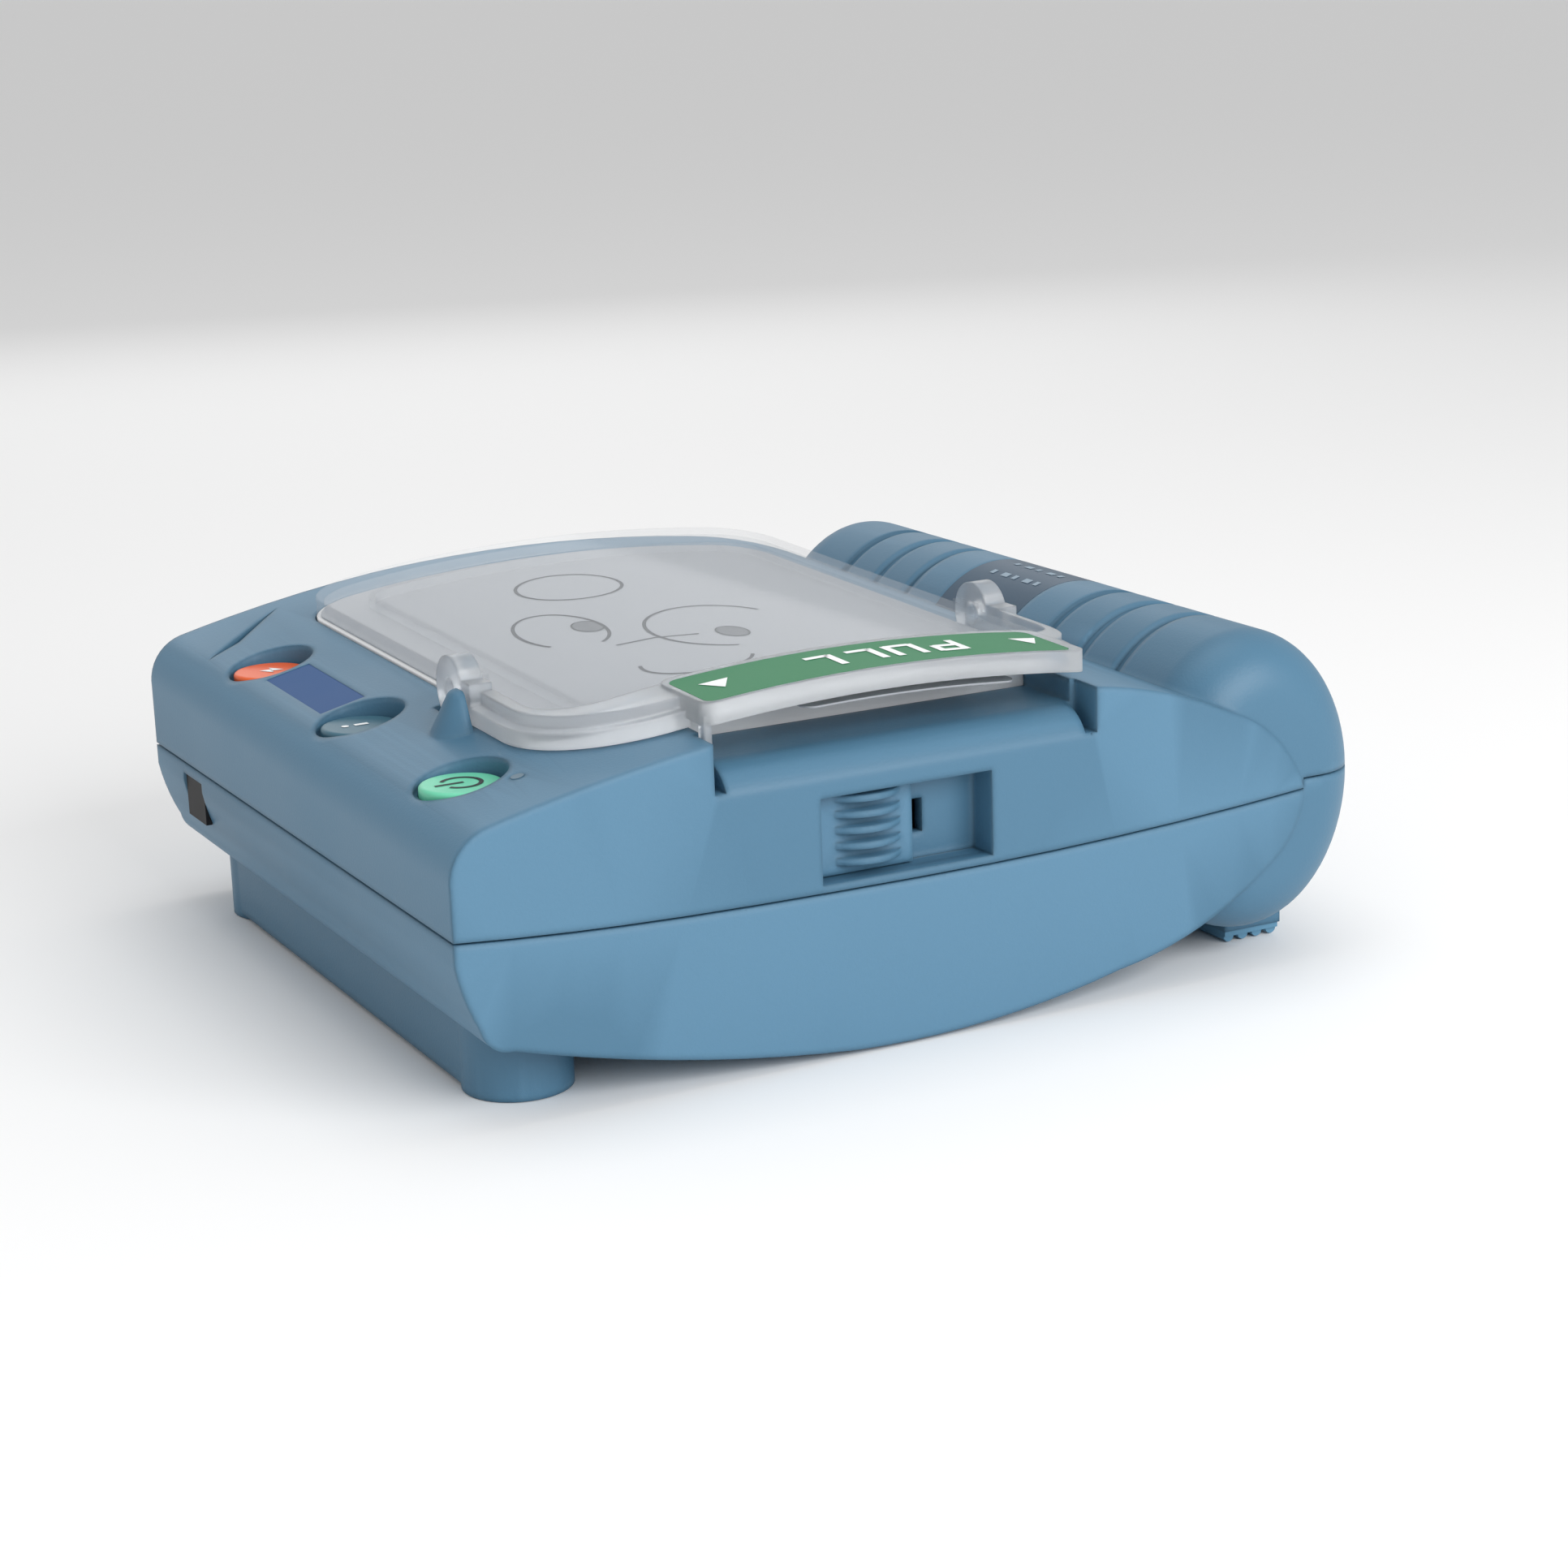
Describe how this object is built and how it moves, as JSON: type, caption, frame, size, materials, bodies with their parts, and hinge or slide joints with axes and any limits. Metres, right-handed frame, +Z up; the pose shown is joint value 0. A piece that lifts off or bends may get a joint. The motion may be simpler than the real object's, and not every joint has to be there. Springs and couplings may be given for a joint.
{
  "type": "defibrillator",
  "caption": "portable defibrillator with a clear pads-cartridge cover, pull handle, push buttons, side latch, grooved carry handle and removable battery",
  "frame": {"origin": "on the floor, below the middle of the 210 mm length and 184 mm width of the case", "axes": "+X towards the button end, -X towards the carry handle, +Y towards the pull handle and latch side, +Z up, away from the back it lies on"},
  "size_m": [0.2098, 0.184, 0.0779],
  "materials": {
    "shell_plastic": "fine textured matte steel blue",
    "foot_rubber": "matte ribbed",
    "navy_label": "smooth printed film",
    "smoke_lens": "smoky translucent lens",
    "blue_label": "printed film",
    "black_window": "glossy dark red-black filter",
    "circuit_board": "solder mask",
    "capacitor_can": "drawn can",
    "black_plastic": "moulded",
    "contact_metal": "plated contacts",
    "spring_steel": "drawn wire",
    "orange_plastic": "satin",
    "grey_blue_plastic": "satin translucent",
    "mint_plastic": "satin",
    "white_plastic": "thermoformed white",
    "pad_foam": "foam backed gel",
    "silver_film": "satin silver-white peel film",
    "clear_plastic": "clear moulded polycarbonate",
    "frosted_plastic": "frosted clear moulding",
    "green_label": "printed film",
    "battery_plastic": "textured light grey",
    "cell_wrap": "shrink wrap"
  },
  "bodies": {
    "housing": {"upper_shell": "shell_plastic", "lower_shell": "shell_plastic", "rear_foot_pad": "foot_rubber", "handle_label": "navy_label", "caution_lens": "smoke_lens", "status_strip": "blue_label", "ready_light": "smoke_lens", "ir_window": "black_window", "main_board": "circuit_board", "capacitor": "capacitor_can", "inductor": "black_plastic", "relay_block": "black_plastic", "speaker": "black_plastic", "cartridge_connector": "black_plastic", "battery_terminals": "contact_metal", "shock_switch": "black_plastic", "info_switch": "black_plastic", "on_switch": "black_plastic", "shock_spring": "spring_steel", "info_spring": "spring_steel", "on_spring": "spring_steel"},
    "latch": {"latch_slider": "shell_plastic"},
    "shock_key": {"shock_button": "orange_plastic"},
    "info_key": {"info_button": "grey_blue_plastic"},
    "on_off_key": {"on_off_button": "mint_plastic"},
    "cartridge": {"cartridge_tray": "white_plastic", "lower_pad": "pad_foam", "upper_pad": "pad_foam", "film_seal": "silver_film"},
    "cover": {"hard_cover": "clear_plastic"},
    "bail": {"pull_handle": "frosted_plastic", "pull_label": "green_label"},
    "battery": {"battery_case": "battery_plastic", "battery_cells": "cell_wrap"}
  },
  "joints": [
    {"name": "cartridge_lift", "type": "slide", "parent": "housing", "child": "cartridge", "axis": [0, 0, 1], "range_m": [0, 0.045]},
    {"name": "cover_lift", "type": "slide", "parent": "cartridge", "child": "cover", "axis": [0, 0, 1], "range_m": [0, 0.03]},
    {"name": "pull_handle_hinge", "type": "hinge", "parent": "cover", "child": "bail", "pos_m": [0.013, 0.028, 0.0698], "axis": [1, 0, 0], "range_deg": [0, 80]},
    {"name": "latch_slide", "type": "slide", "parent": "housing", "child": "latch", "axis": [-1, 0, 0], "range_m": [0, 0.008], "stiffness_N_per_m": 300, "springref_m": -0.004},
    {"name": "shock_press", "type": "slide", "parent": "housing", "child": "shock_key", "axis": [0, 0, -1], "range_m": [0, 0.0015], "stiffness_N_per_m": 900, "springref_m": -0.0008, "deforming": ["shock_spring"]},
    {"name": "info_press", "type": "slide", "parent": "housing", "child": "info_key", "axis": [0, 0, -1], "range_m": [0, 0.0015], "stiffness_N_per_m": 900, "springref_m": -0.0008, "deforming": ["info_spring"]},
    {"name": "on_off_press", "type": "slide", "parent": "housing", "child": "on_off_key", "axis": [0, 0, -1], "range_m": [0, 0.0015], "stiffness_N_per_m": 900, "springref_m": -0.0008, "deforming": ["on_spring"]},
    {"name": "battery_slide", "type": "slide", "parent": "housing", "child": "battery", "axis": [0, 0, -1], "range_m": [0, 0.03]}
  ]
}
